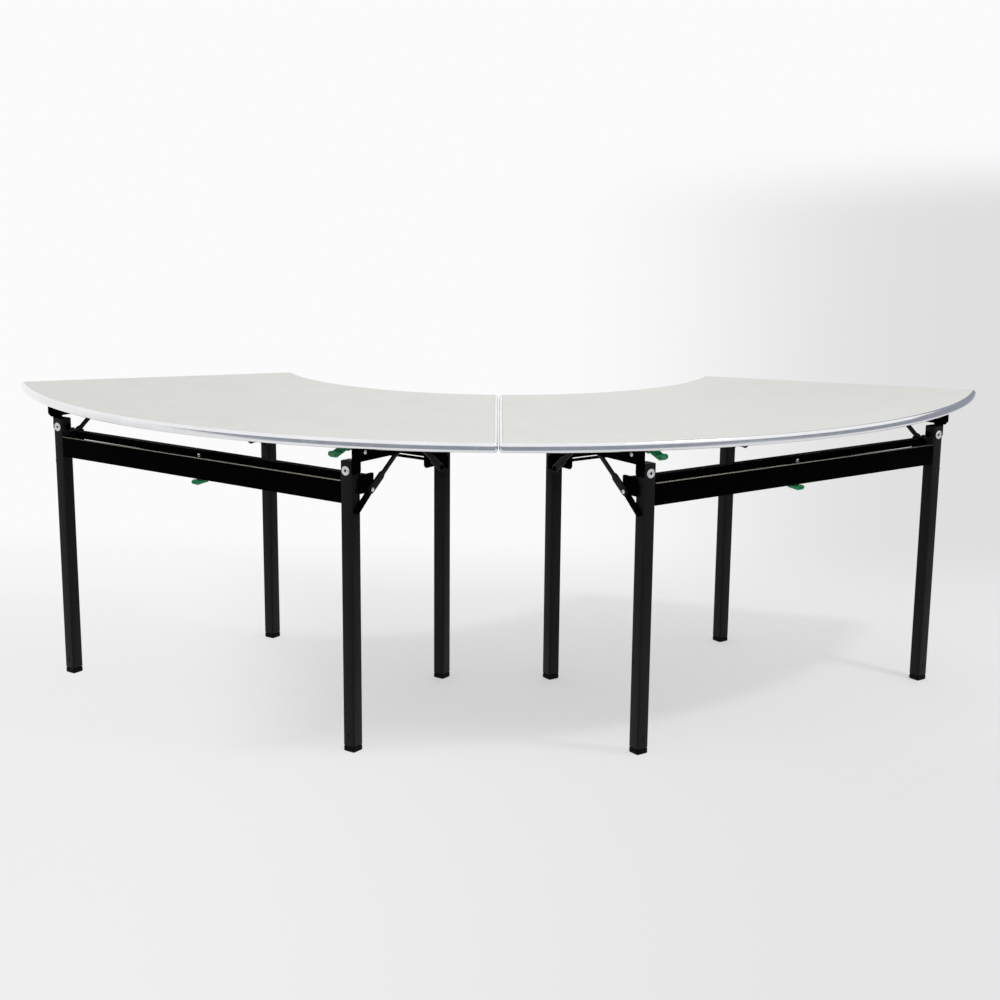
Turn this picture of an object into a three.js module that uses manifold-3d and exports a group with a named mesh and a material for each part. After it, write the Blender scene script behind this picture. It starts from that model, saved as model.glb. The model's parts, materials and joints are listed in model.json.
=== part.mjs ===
// Two curved folding tables that stand end to end as one open bow.
// Each table is a sector of a ring: a laminated board in a rounded aluminium edge, carried by an outer and an
// inner leg frame of square tube. Both frames fold flat under the board about a line along the chord.
// Millimetres, +Z up, front (the outer rim) towards -Y, origin on the floor in the middle of the plan.

import * as THREE from 'three';
import { mergeVertices } from 'three/addons/utils/BufferGeometryUtils.js';
import Module from 'manifold-3d';

const wasm = await Module();
wasm.setup();

// Table top
const TOP_HEIGHT = 740;
const TOP_THICKNESS = 22;
const OUTER_RADIUS = 1385;
const TOP_WIDTH = 752;
const SECTOR_ANGLE = THREE.MathUtils.degToRad(70.5);
const SEAM_GAP = 0.8;
const CORNER_RADIUS = 14;
const TRIM_WIDTH = 8;
const TRIM_ROUNDING = 7;

// Leg frames: how far inside their rim the leg centres stand, how far their hinges are below the board
// and how far they fold. The outer frame is staggered along the chord towards the free end, the inner one
// towards the seam.
const OUTER_LEG_INSET = 143;
const OUTER_LEG_SPREAD = 971;
const OUTER_STAGGER = 12;
const OUTER_PIVOT_DROP = 57;
const INNER_LEG_INSET = 60;
const INNER_LEG_SPREAD = 610;
const INNER_STAGGER = 8;
const INNER_PIVOT_DROP = 96;
const FOLD_DEGREES = 90;

// Square leg tube and its foot
const LEG_SIZE = 32;
const LEG_WALL = 2;
const LEG_CORNER = 4;
const LEG_ABOVE_PIVOT = 22;
const LEG_CAP = 3;
const PIVOT_INSET = 4;
const FOOT_HEIGHT = 14;
const FOOT_PLUG = 22;
const FOOT_EDGE = 1.5;

// Cross beams between the legs, measured from the hinge line
const OUTER_BEAM_DEPTH = 51;
const INNER_BEAM_DEPTH = 24;
const BEAM_THICKNESS = 8;
const BEAM_WALL = 2;
const OUTER_BEAM_DROP = 76;
const INNER_BEAM_DROP = 34;

// Release rail behind the legs: a bar that ends in a cheek on either side of each leg.
// The outboard cheek is the thicker one. On the outer frame it has a stay that runs down to the leg.
const RAIL_SETBACK = 20;
const RAIL_DEPTH = 22;
const OUTER_RAIL_HEIGHT = 16.5;
const INNER_RAIL_HEIGHT = 12;
const OUTER_RAIL_DROP = 14;
const INNER_RAIL_DROP = 13;
const PLATE_THICKNESS = 8;
const CHEEK_THICKNESS = 3;
const PLATE_FRONT = 6;
const PLATE_END = 52;
const PLATE_TOP_DROP = 12;
const PLATE_BOTTOM_DROP = 54;
const PLATE_CHAMFER = 7;
const STAY_WIDTH = 13;
const STAY_FOOT_SETBACK = -2;
const STAY_FOOT_DROP = 92;
const STAY_HEAD_INSET = 5;

// Brace: a link on a stud of the rail's outboard cheek, with a pin that slides in the hinge bracket's slot
const STUD_SETBACK = 40;
const STUD_DROP = 48;
const STUD_RADIUS = 4;
const STUD_HEAD = 7;
const STUD_HEAD_HEIGHT = 1;
const LINK_ANGLE = THREE.MathUtils.degToRad(38);
const LINK_THICKNESS = 5;
const LINK_SLEEVE_WIDTH = 20;
const LINK_SLEEVE_LENGTH = 44;
const LINK_ROD_WIDTH = 12;
const PIN_RADIUS = 4;
const PIN_HEAD = 7;
const PIN_HEAD_HEIGHT = 2.5;

// Hinge bracket under the board: a top flange, an outboard cheek with the slot for the brace,
// and a tongue that goes down the leg's outboard face to the pivot
const SLOT_RISE = 32;
const SLOT_SIDE_PLAY = 2;
const SLOT_END_PLAY = 2;
const HINGE_SHEET = 3;
const HINGE_FRONT = 16;
const HINGE_INBOARD = 10;
const HINGE_END_MARGIN = 9;
const OUTER_SLOT_MARGIN = 4;
const INNER_SLOT_MARGIN = 10;
const TONGUE_THICKNESS = 3;
const TONGUE_WIDTH = 28;
const TONGUE_BELOW = 9;
const TONGUE_CHAMFER = 5;

// Pivot bolt through the leg and the hinge tongue
const BOLT_RADIUS = 4;
const BOLT_HEAD = 8;
const BOLT_HEAD_HEIGHT = 3;

// Release lever and its shaft. The outer lever is offset along the chord from the middle to the seam.
const SHAFT_RADIUS = 4;
const SHAFT_SETBACK = 30;
const OUTER_SHAFT_DROP = 46;
const INNER_SHAFT_DROP = 34;
const OUTER_LEVER_WIDTH = 24;
const INNER_LEVER_WIDTH = 32;
const LEVER_HUB = 8;
const LEVER_ARM = 9;
const LEVER_BEAM_GAP = 2;
const OUTER_LEVER_REACH = 20;
const OUTER_LEVER_OFFSET = 13;
const INNER_LEVER_REACH = 70;
const INNER_LEVER_DROP = 46;
const INNER_LEVER_KNOB = 8;
const INNER_LEVER_ROOT = 0.3;

// Clearances: between parts that touch, on a turning fit, and between parts that pass each other
const FIT_GAP = 0.3;
const TURN_GAP = 0.4;
const PASS_GAP = 0.7;
const HINGE_GAP = 2.5;

// How finely the round shapes are cut
const OUTER_ARC_STEPS = 24;
const INNER_ARC_STEPS = 16;
const CORNER_STEPS = 3;
const ROUND_STEPS = 10;
const BEND_DIVISIONS = 2;

const INNER_RADIUS = OUTER_RADIUS - TOP_WIDTH;
const UNDERSIDE = TOP_HEIGHT - TOP_THICKNESS;
const OUTER_LEG_LINE = OUTER_RADIUS - OUTER_LEG_INSET;
const INNER_LEG_LINE = INNER_RADIUS + INNER_LEG_INSET;
const OUTER_PIVOT_HEIGHT = UNDERSIDE - OUTER_PIVOT_DROP;
const INNER_PIVOT_HEIGHT = UNDERSIDE - INNER_PIVOT_DROP;
const LEG_FACE = LEG_SIZE / 2;

// Layers outboard of each leg, measured from the leg's centre
const FACE_NEAR = LEG_FACE + FIT_GAP;
const CHEEK_FAR = FACE_NEAR + CHEEK_THICKNESS;
const TONGUE_FAR = FACE_NEAR + TONGUE_THICKNESS;
const PLATE_FAR = FACE_NEAR + PLATE_THICKNESS;
const LINK_NEAR = PLATE_FAR + PASS_GAP;
const LINK_FAR = LINK_NEAR + LINK_THICKNESS;
const HINGE_NEAR = LINK_FAR + HINGE_GAP;
const HINGE_FAR = HINGE_NEAR + HINGE_SHEET;

const laminate = new THREE.MeshStandardMaterial({ color: '#dbdcd6', roughness: 0.55, metalness: 0 });
const aluminium = new THREE.MeshStandardMaterial({ color: '#d5d8dc', roughness: 0.3, metalness: 1 });
const blackSteel = new THREE.MeshStandardMaterial({ color: '#121213', roughness: 0.4, metalness: 0.2 });
const zincSteel = new THREE.MeshStandardMaterial({ color: '#a9abb0', roughness: 0.35, metalness: 1 });
const blackPlastic = new THREE.MeshStandardMaterial({ color: '#0d0d0d', roughness: 0.6, metalness: 0 });
const greenPlastic = new THREE.MeshStandardMaterial({ color: '#0d7c3f', roughness: 0.45, metalness: 0 });

// Joining and cutting

function solidOf(geometry) {
  const bare = geometry.clone();
  bare.deleteAttribute('normal');
  bare.deleteAttribute('uv');
  const welded = mergeVertices(bare, 1e-4);
  const vertProperties = new Float32Array(welded.attributes.position.array);
  const triVerts = new Uint32Array(welded.index.array);
  return new wasm.Manifold(new wasm.Mesh({ numProp: 3, vertProperties, triVerts }));
}

function geometryOf(solid) {
  const { vertProperties, triVerts } = solid.getMesh();
  const geometry = new THREE.BufferGeometry();
  geometry.setAttribute('position', new THREE.BufferAttribute(new Float32Array(vertProperties), 3));
  geometry.setIndex(new THREE.BufferAttribute(new Uint32Array(triVerts), 1));
  geometry.computeVertexNormals();
  return geometry;
}

function join(...geometries) {
  return geometryOf(geometries.map(solidOf).reduce((whole, next) => whole.add(next)));
}

function cut(body, ...tools) {
  return geometryOf(tools.map(solidOf).reduce((rest, tool) => rest.subtract(tool), solidOf(body)));
}

// Basic forms. A side profile lies in the plane of (setback, height) and runs across the table along X.

const ACROSS = new THREE.Matrix4().makeBasis(
  new THREE.Vector3(0, 1, 0),
  new THREE.Vector3(0, 0, 1),
  new THREE.Vector3(1, 0, 0),
);

function extrude(shape, depth) {
  return new THREE.ExtrudeGeometry(shape, { depth, bevelEnabled: false, curveSegments: BEND_DIVISIONS });
}

function upright(shape, low, high) {
  return extrude(shape, high - low).translate(0, 0, low);
}

function across(shape, from, to) {
  const low = Math.min(from, to);
  return extrude(shape, Math.abs(to - from)).applyMatrix4(ACROSS).translate(low, 0, 0);
}

function roundBar(radius, from, to, setback, height) {
  const bar = new THREE.CylinderGeometry(radius, radius, Math.abs(to - from), ROUND_STEPS);
  return bar.rotateZ(-Math.PI / 2).translate((from + to) / 2, setback, height);
}

function rectangle(left, bottom, right, top) {
  return new THREE.Shape([
    new THREE.Vector2(left, bottom),
    new THREE.Vector2(right, bottom),
    new THREE.Vector2(right, top),
    new THREE.Vector2(left, top),
  ]);
}

function square(size) {
  return rectangle(-size / 2, -size / 2, size / 2, size / 2);
}

function roundedSquare(size, corner) {
  const half = size / 2;
  const inner = half - corner;
  const shape = new THREE.Shape();
  shape.absarc(inner, inner, corner, 0, Math.PI / 2);
  shape.absarc(-inner, inner, corner, Math.PI / 2, Math.PI);
  shape.absarc(-inner, -inner, corner, Math.PI, 1.5 * Math.PI);
  shape.absarc(inner, -inner, corner, 1.5 * Math.PI, 2 * Math.PI);
  return shape;
}

// A bar with round ends from one point to another, in the side plane
function roundEnded(start, end, width) {
  const along = Math.atan2(end.y - start.y, end.x - start.x);
  const shape = new THREE.Shape();
  shape.absarc(end.x, end.y, width / 2, along - Math.PI / 2, along + Math.PI / 2);
  shape.absarc(start.x, start.y, width / 2, along + Math.PI / 2, along + 1.5 * Math.PI);
  return shape;
}

// Table top. A heading is an angle from the table's middle line; heading 0 points to the outer rim.

function towards(heading, radius) {
  return new THREE.Vector2(Math.sin(heading), -Math.cos(heading)).multiplyScalar(radius);
}

function arcPoints(centre, radius, from, to, steps) {
  const points = [];
  for (let step = 0; step <= steps; step += 1) {
    const heading = from + ((to - from) * step) / steps;
    points.push(centre.clone().add(towards(heading, radius)));
  }
  return points;
}

// The plan of one table, drawn in by an inset, anticlockwise from the outer rim
function topOutline(inset) {
  const half = SECTOR_ANGLE / 2;
  const corner = CORNER_RADIUS - inset;
  const sideOffset = SEAM_GAP / 2 + CORNER_RADIUS;
  const outerCentre = OUTER_RADIUS - CORNER_RADIUS;
  const innerCentre = INNER_RADIUS + CORNER_RADIUS;
  const outerHeading = half - Math.asin(sideOffset / outerCentre);
  const innerHeading = half - Math.asin(sideOffset / innerCentre);
  const middle = new THREE.Vector2(0, 0);
  const rightSide = half + Math.PI / 2;
  const leftSide = 1.5 * Math.PI - half;
  const rounded = (heading, radius, from, to) =>
    arcPoints(towards(heading, radius), corner, from, to, CORNER_STEPS);
  return [
    ...arcPoints(middle, OUTER_RADIUS - inset, -outerHeading, outerHeading, OUTER_ARC_STEPS),
    ...rounded(outerHeading, outerCentre, outerHeading, rightSide).slice(1),
    ...rounded(innerHeading, innerCentre, rightSide, innerHeading + Math.PI),
    ...arcPoints(middle, INNER_RADIUS + inset, innerHeading, -innerHeading, INNER_ARC_STEPS).slice(1),
    ...rounded(-innerHeading, innerCentre, Math.PI - innerHeading, leftSide).slice(1),
    ...rounded(-outerHeading, outerCentre, leftSide, 2 * Math.PI - outerHeading).slice(0, -1),
  ];
}

function boardGeometry() {
  const plan = new THREE.Shape(topOutline(TRIM_WIDTH + FIT_GAP));
  return upright(plan, UNDERSIDE, TOP_HEIGHT);
}

// Section of the edge trim as (inset, height): up the rounded rim, over the top and down the inner face
function trimSection() {
  const section = [];
  for (let step = 0; step <= CORNER_STEPS; step += 1) {
    const turn = (Math.PI / 2) * (step / CORNER_STEPS);
    const inset = TRIM_ROUNDING * (1 - Math.sin(turn));
    section.push(new THREE.Vector2(inset, UNDERSIDE + TRIM_ROUNDING * (1 - Math.cos(turn))));
  }
  for (let step = 0; step <= CORNER_STEPS; step += 1) {
    const turn = (Math.PI / 2) * (step / CORNER_STEPS);
    const inset = TRIM_ROUNDING * (1 - Math.cos(turn));
    section.push(new THREE.Vector2(inset, TOP_HEIGHT - TRIM_ROUNDING * (1 - Math.sin(turn))));
  }
  section.push(new THREE.Vector2(TRIM_WIDTH, TOP_HEIGHT), new THREE.Vector2(TRIM_WIDTH, UNDERSIDE));
  return section;
}

// The section carried once round the plan, closed both ways
function trimGeometry() {
  const rings = trimSection().map(({ x, y }) => topOutline(x).map((point) => [point.x, point.y, y]));
  const around = rings[0].length;
  const index = [];
  rings.forEach((ring, row) => {
    const next = (row + 1) % rings.length;
    for (let column = 0; column < around; column += 1) {
      const right = (column + 1) % around;
      const [low, high] = [row * around, next * around];
      index.push(low + column, low + right, high + right);
      index.push(low + column, high + right, high + column);
    }
  });
  const geometry = new THREE.BufferGeometry();
  geometry.setAttribute('position', new THREE.Float32BufferAttribute(rings.flat(2), 3));
  geometry.setIndex(index);
  geometry.computeVertexNormals();
  return geometry;
}

// Leg frame. Its own frame has X along the chord, Y setback from the legs to the folding side, and Z measured
// from the hinge line.

const PIVOT = new THREE.Vector2(PIVOT_INSET, 0);
const STUD = new THREE.Vector2(STUD_SETBACK, -STUD_DROP);
const OUTER_SHAFT = new THREE.Vector2(SHAFT_SETBACK, -OUTER_SHAFT_DROP);
const INNER_SHAFT = new THREE.Vector2(SHAFT_SETBACK, -INNER_SHAFT_DROP);
const LINK_LENGTH = (SLOT_RISE + STUD_DROP) / Math.sin(LINK_ANGLE);
const LINK_PIN = new THREE.Vector2(STUD_SETBACK + LINK_LENGTH * Math.cos(LINK_ANGLE), SLOT_RISE);

function legGeometry(pivotHeight) {
  const bottom = FOOT_HEIGHT - pivotHeight;
  const tube = upright(roundedSquare(LEG_SIZE, LEG_CORNER), bottom, LEG_ABOVE_PIVOT);
  const hollow = upright(square(LEG_SIZE - 2 * LEG_WALL), bottom - LEG_WALL, LEG_ABOVE_PIVOT - LEG_CAP);
  const hole = roundBar(BOLT_RADIUS + TURN_GAP, -LEG_SIZE, LEG_SIZE, PIVOT.x, PIVOT.y);
  return cut(tube, hollow, hole);
}

function footGeometry(pivotHeight) {
  const floor = -pivotHeight;
  const plugSize = LEG_SIZE - 2 * LEG_WALL - 2 * FIT_GAP;
  const sole = upright(roundedSquare(LEG_SIZE - 2 * FOOT_EDGE, LEG_CORNER), floor, floor + 2 * FOOT_EDGE);
  const cap = upright(roundedSquare(LEG_SIZE, LEG_CORNER), floor + FOOT_EDGE, floor + FOOT_HEIGHT - FIT_GAP);
  const plug = upright(square(plugSize), floor + FOOT_EDGE, floor + FOOT_HEIGHT + FOOT_PLUG);
  return join(sole, cap, plug);
}

function beamGeometry(spread, drop, depth) {
  const reach = spread / 2 - FACE_NEAR;
  const front = -LEG_FACE;
  const profile = rectangle(front, -drop, front + BEAM_THICKNESS, depth - drop);
  const bore = rectangle(
    front + BEAM_WALL,
    BEAM_WALL - drop,
    front + BEAM_THICKNESS - BEAM_WALL,
    depth - BEAM_WALL - drop,
  );
  return cut(across(profile, -reach, reach), across(bore, -reach - BEAM_WALL, reach + BEAM_WALL));
}

// Cheek of the rail, in the side plane: keeps clear of the pivot bolt's head at its upper front corner
function cheekShape() {
  const top = -PLATE_TOP_DROP;
  const bottom = -PLATE_BOTTOM_DROP;
  const boltRoom = PIVOT_INSET + BOLT_HEAD + PASS_GAP;
  return new THREE.Shape([
    new THREE.Vector2(PLATE_FRONT, top - boltRoom),
    new THREE.Vector2(PLATE_FRONT, bottom),
    new THREE.Vector2(PLATE_END - PLATE_CHAMFER, bottom),
    new THREE.Vector2(PLATE_END, bottom + PLATE_CHAMFER),
    new THREE.Vector2(PLATE_END, top),
    new THREE.Vector2(PLATE_FRONT + boltRoom, top),
  ]);
}

function railGeometry(spread, drop, height, shaft, hasStays) {
  const legCentre = spread / 2;
  const near = legCentre + FACE_NEAR;
  const far = legCentre + PLATE_FAR;
  const pieces = [
    across(rectangle(RAIL_SETBACK, -drop - height, RAIL_SETBACK + RAIL_DEPTH, -drop), -far, far),
  ];
  const stayFoot = new THREE.Vector2(STAY_FOOT_SETBACK, -STAY_FOOT_DROP);
  const stayHead = new THREE.Vector2(PLATE_END - STAY_HEAD_INSET, STAY_HEAD_INSET - PLATE_BOTTOM_DROP);
  const shaftHoles = [];
  for (const side of [-1, 1]) {
    const stud = legCentre + LINK_FAR + TURN_GAP;
    const inboard = [side * (legCentre - CHEEK_FAR), side * (legCentre - FACE_NEAR)];
    const shaftHole = [side * (legCentre - LEG_SIZE), side * (far + PASS_GAP)];
    pieces.push(across(cheekShape(), ...inboard));
    pieces.push(across(cheekShape(), side * near, side * far));
    pieces.push(roundBar(STUD_RADIUS, side * near, side * (stud + STUD_HEAD_HEIGHT), STUD.x, STUD.y));
    pieces.push(roundBar(STUD_HEAD, side * stud, side * (stud + STUD_HEAD_HEIGHT), STUD.x, STUD.y));
    if (hasStays) {
      pieces.push(across(roundEnded(stayFoot, stayHead, STAY_WIDTH), side * near, side * far));
    }
    shaftHoles.push(roundBar(SHAFT_RADIUS + TURN_GAP, ...shaftHole, shaft.x, shaft.y));
  }
  return cut(join(...pieces), ...shaftHoles);
}

function linkGeometry(spread, side) {
  const legCentre = spread / 2;
  const near = side * (legCentre + LINK_NEAR);
  const far = side * (legCentre + LINK_FAR);
  const sleeveEnd = STUD.clone().add(
    new THREE.Vector2(Math.cos(LINK_ANGLE), Math.sin(LINK_ANGLE)).multiplyScalar(LINK_SLEEVE_LENGTH),
  );
  const pinEnd = legCentre + HINGE_FAR + PASS_GAP;
  const body = join(
    across(roundEnded(STUD, sleeveEnd, LINK_SLEEVE_WIDTH), near, far),
    across(roundEnded(STUD, LINK_PIN, LINK_ROD_WIDTH), near, far),
    roundBar(PIN_RADIUS, near, side * (pinEnd + PIN_HEAD_HEIGHT), LINK_PIN.x, LINK_PIN.y),
    roundBar(PIN_HEAD, side * pinEnd, side * (pinEnd + PIN_HEAD_HEIGHT), LINK_PIN.x, LINK_PIN.y),
  );
  const hole = [side * (legCentre + LINK_NEAR - PASS_GAP), side * (legCentre + LINK_FAR + PASS_GAP)];
  return cut(body, roundBar(STUD_RADIUS + TURN_GAP, ...hole, STUD.x, STUD.y));
}

// Where the link's pin stands along its slot when the frame has turned by an angle
function pinSetback(angle) {
  const arm = STUD.clone().sub(PIVOT).rotateAround(new THREE.Vector2(0, 0), angle);
  const rise = SLOT_RISE - arm.y;
  return PIVOT.x + arm.x + Math.sqrt(LINK_LENGTH ** 2 - rise ** 2);
}

function slotReach() {
  const stops = [];
  for (let degrees = 0; degrees <= FOLD_DEGREES; degrees += 1) {
    stops.push(pinSetback(THREE.MathUtils.degToRad(degrees)));
  }
  return [Math.min(...stops), Math.max(...stops)];
}

function hingeGeometry(spread, pivotHeight, slotMargin, side) {
  const at = (offset) => side * (spread / 2 + offset);
  const top = UNDERSIDE - FIT_GAP - pivotHeight;
  const [slotStart, slotEnd] = slotReach();
  const slotHalf = PIN_RADIUS + SLOT_SIDE_PLAY;
  const bottom = SLOT_RISE - slotHalf - slotMargin;
  const back = slotEnd + SLOT_END_PLAY + slotHalf + HINGE_END_MARGIN;
  const cheek = new THREE.Shape([
    new THREE.Vector2(-HINGE_FRONT, top),
    new THREE.Vector2(-HINGE_FRONT, bottom + HINGE_END_MARGIN),
    new THREE.Vector2(HINGE_END_MARGIN - HINGE_FRONT, bottom),
    new THREE.Vector2(back - HINGE_END_MARGIN, bottom),
    new THREE.Vector2(back, bottom + HINGE_END_MARGIN),
    new THREE.Vector2(back, top),
  ]);
  const tongueHalf = TONGUE_WIDTH / 2;
  const tongue = new THREE.Shape([
    new THREE.Vector2(-tongueHalf, top),
    new THREE.Vector2(-tongueHalf, TONGUE_CHAMFER - TONGUE_BELOW),
    new THREE.Vector2(TONGUE_CHAMFER - tongueHalf, -TONGUE_BELOW),
    new THREE.Vector2(tongueHalf - TONGUE_CHAMFER, -TONGUE_BELOW),
    new THREE.Vector2(tongueHalf, TONGUE_CHAMFER - TONGUE_BELOW),
    new THREE.Vector2(tongueHalf, top),
  ]);
  const flange = rectangle(-HINGE_FRONT, top - HINGE_SHEET, back, top);
  const slotFrom = new THREE.Vector2(slotStart - SLOT_END_PLAY, SLOT_RISE);
  const slotTo = new THREE.Vector2(slotEnd + SLOT_END_PLAY, SLOT_RISE);
  const slot = roundEnded(slotFrom, slotTo, 2 * slotHalf);
  return cut(
    join(
      across(cheek, at(HINGE_NEAR), at(HINGE_FAR)),
      across(flange, at(-HINGE_INBOARD), at(HINGE_FAR)),
      across(tongue, at(FACE_NEAR), at(TONGUE_FAR)),
    ),
    across(slot, at(HINGE_NEAR - PASS_GAP), at(HINGE_FAR + PASS_GAP)),
    roundBar(BOLT_RADIUS + TURN_GAP, at(LEG_FACE), at(TONGUE_FAR + PASS_GAP), PIVOT.x, PIVOT.y),
  );
}

// The bolt runs through the leg, with the hinge tongue turning under its outboard head
function boltGeometry(spread, side) {
  const inboardFace = -FACE_NEAR;
  const outboardFace = TONGUE_FAR + FIT_GAP;
  const bar = (radius, from, to) =>
    roundBar(radius, side * (spread / 2 + from), side * (spread / 2 + to), PIVOT.x, PIVOT.y);
  return join(
    bar(BOLT_RADIUS, inboardFace - BOLT_HEAD_HEIGHT, outboardFace + BOLT_HEAD_HEIGHT),
    bar(BOLT_HEAD, inboardFace - BOLT_HEAD_HEIGHT, inboardFace),
    bar(BOLT_HEAD, outboardFace, outboardFace + BOLT_HEAD_HEIGHT),
  );
}

function shaftGeometry(spread, shaft) {
  const reach = spread / 2 + PLATE_FAR - FIT_GAP;
  return roundBar(SHAFT_RADIUS, -reach, reach, shaft.x, shaft.y);
}

// A lever is a chain of round-ended arms from its hub on the shaft, with a hole for the shaft
function leverGeometry(shaft, points, width, knob) {
  const wide = width / 2;
  const pieces = [across(roundEnded(shaft, points[0], 2 * LEVER_HUB), -wide, wide)];
  for (let step = 1; step < points.length; step += 1) {
    pieces.push(across(roundEnded(points[step - 1], points[step], LEVER_ARM), -wide, wide));
  }
  const tip = points.at(-1);
  pieces.push(roundBar(knob, -wide, wide, tip.x, tip.y));
  const hole = roundBar(SHAFT_RADIUS + FIT_GAP, -width, width, shaft.x, shaft.y);
  return cut(join(...pieces), hole);
}

// The outer lever drops behind the front beam and reaches forward beneath it
function outerLeverGeometry() {
  const level = -OUTER_BEAM_DROP - LEVER_BEAM_GAP - LEVER_ARM / 2;
  const heel = BEAM_THICKNESS - LEG_FACE + LEVER_BEAM_GAP + LEVER_ARM;
  const points = [
    new THREE.Vector2(OUTER_SHAFT.x, OUTER_SHAFT.y - LEVER_HUB),
    new THREE.Vector2(heel, level),
    new THREE.Vector2(-OUTER_LEVER_REACH, level),
  ];
  return leverGeometry(OUTER_SHAFT, points, OUTER_LEVER_WIDTH, LEVER_ARM / 2);
}

// The inner lever slopes down and away from its shaft to a rounded knob
function innerLeverGeometry() {
  const tip = new THREE.Vector2(INNER_LEVER_REACH, -INNER_LEVER_DROP);
  const root = INNER_SHAFT.clone().lerp(tip, INNER_LEVER_ROOT);
  return leverGeometry(INNER_SHAFT, [root, tip], INNER_LEVER_WIDTH, INNER_LEVER_KNOB);
}

const FRAMES = {
  outer: {
    line: OUTER_LEG_LINE,
    stagger: -OUTER_STAGGER,
    spread: OUTER_LEG_SPREAD,
    pivotHeight: OUTER_PIVOT_HEIGHT,
    beamDrop: OUTER_BEAM_DROP,
    beamDepth: OUTER_BEAM_DEPTH,
    railDrop: OUTER_RAIL_DROP,
    railHeight: OUTER_RAIL_HEIGHT,
    slotMargin: OUTER_SLOT_MARGIN,
    hasStays: true,
    shaft: OUTER_SHAFT,
    facing: 1,
    lever: outerLeverGeometry,
    leverOffset: OUTER_LEVER_OFFSET,
  },
  inner: {
    line: INNER_LEG_LINE,
    stagger: INNER_STAGGER,
    spread: INNER_LEG_SPREAD,
    pivotHeight: INNER_PIVOT_HEIGHT,
    beamDrop: INNER_BEAM_DROP,
    beamDepth: INNER_BEAM_DEPTH,
    railDrop: INNER_RAIL_DROP,
    railHeight: INNER_RAIL_HEIGHT,
    slotMargin: INNER_SLOT_MARGIN,
    hasStays: false,
    shaft: INNER_SHAFT,
    facing: -1,
    lever: innerLeverGeometry,
    leverOffset: 0,
  },
};

function named(name, geometry, material) {
  const mesh = new THREE.Mesh(geometry, material);
  mesh.name = name;
  return mesh;
}

// One leg frame of a table with its hinges, braces and lever. The inner frame faces the other way.
function makeFrame(table, frameName) {
  const { line, stagger, spread, pivotHeight, slotMargin, facing } = FRAMES[frameName];
  const { beamDrop, beamDepth, railDrop, railHeight, hasStays } = FRAMES[frameName];
  const { shaft, lever, leverOffset } = FRAMES[frameName];
  const label = (piece) => `${table.name}_${frameName}_${piece}`;
  const frame = new THREE.Group();
  frame.position.set(table.seamSide * stagger, -line, pivotHeight);
  frame.rotation.z = facing > 0 ? 0 : Math.PI;
  for (const side of [-1, 1]) {
    const end = side * facing === table.seamSide ? 'seam' : 'end';
    const leg = named(label(`leg_${end}`), legGeometry(pivotHeight), blackSteel);
    const foot = named(label(`foot_${end}`), footGeometry(pivotHeight), blackPlastic);
    leg.position.x = side * (spread / 2);
    foot.position.x = side * (spread / 2);
    frame.add(
      leg,
      foot,
      named(label(`hinge_bracket_${end}`), hingeGeometry(spread, pivotHeight, slotMargin, side), blackSteel),
      named(label(`pivot_bolt_${end}`), boltGeometry(spread, side), zincSteel),
      named(label(`brace_${end}`), linkGeometry(spread, side), blackSteel),
    );
  }
  const leverMesh = named(label('release_lever'), lever(), greenPlastic);
  leverMesh.position.x = table.seamSide * facing * leverOffset;
  frame.add(
    leverMesh,
    named(label('cross_beam'), beamGeometry(spread, beamDrop, beamDepth), blackSteel),
    named(label('release_rail'), railGeometry(spread, railDrop, railHeight, shaft, hasStays), blackSteel),
    named(label('release_shaft'), shaftGeometry(spread, shaft), zincSteel),
  );
  return frame;
}

// A table lies to one side of the seam; its own frame has the outer rim towards -Y
function makeTable(table) {
  const group = new THREE.Group();
  group.rotation.z = -table.seamSide * (SECTOR_ANGLE / 2);
  group.add(
    named(`${table.name}_table_top`, boardGeometry(), laminate),
    named(`${table.name}_edge_trim`, trimGeometry(), aluminium),
    makeFrame(table, 'outer'),
    makeFrame(table, 'inner'),
  );
  return group;
}

const model = new THREE.Group();
model.add(makeTable({ name: 'left', seamSide: 1 }), makeTable({ name: 'right', seamSide: -1 }));

// The origin moves from the ring's centre to the floor under the middle of the plan
const box = new THREE.Box3().setFromObject(model, true);
const middle = box.getCenter(new THREE.Vector3());
model.position.set(-middle.x, -middle.y, -box.min.z);

export default model;
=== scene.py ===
"""Looks of two curved folding tables that stand end to end as one open bow.

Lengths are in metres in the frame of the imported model: +X along the bow, +Y from the outer rim to its
hollow, +Z up. Each leg frame also has a frame of its own: chord along the table, setback from the legs to
the side they fold to, and height measured from the hinge line.
"""

import json
import logging
from dataclasses import dataclass
from enum import Enum
from math import asin, cos, pi, radians, sin
from typing import Sequence

import bmesh
import bpy
import numpy as np
from mathutils import Matrix, Vector


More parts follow.
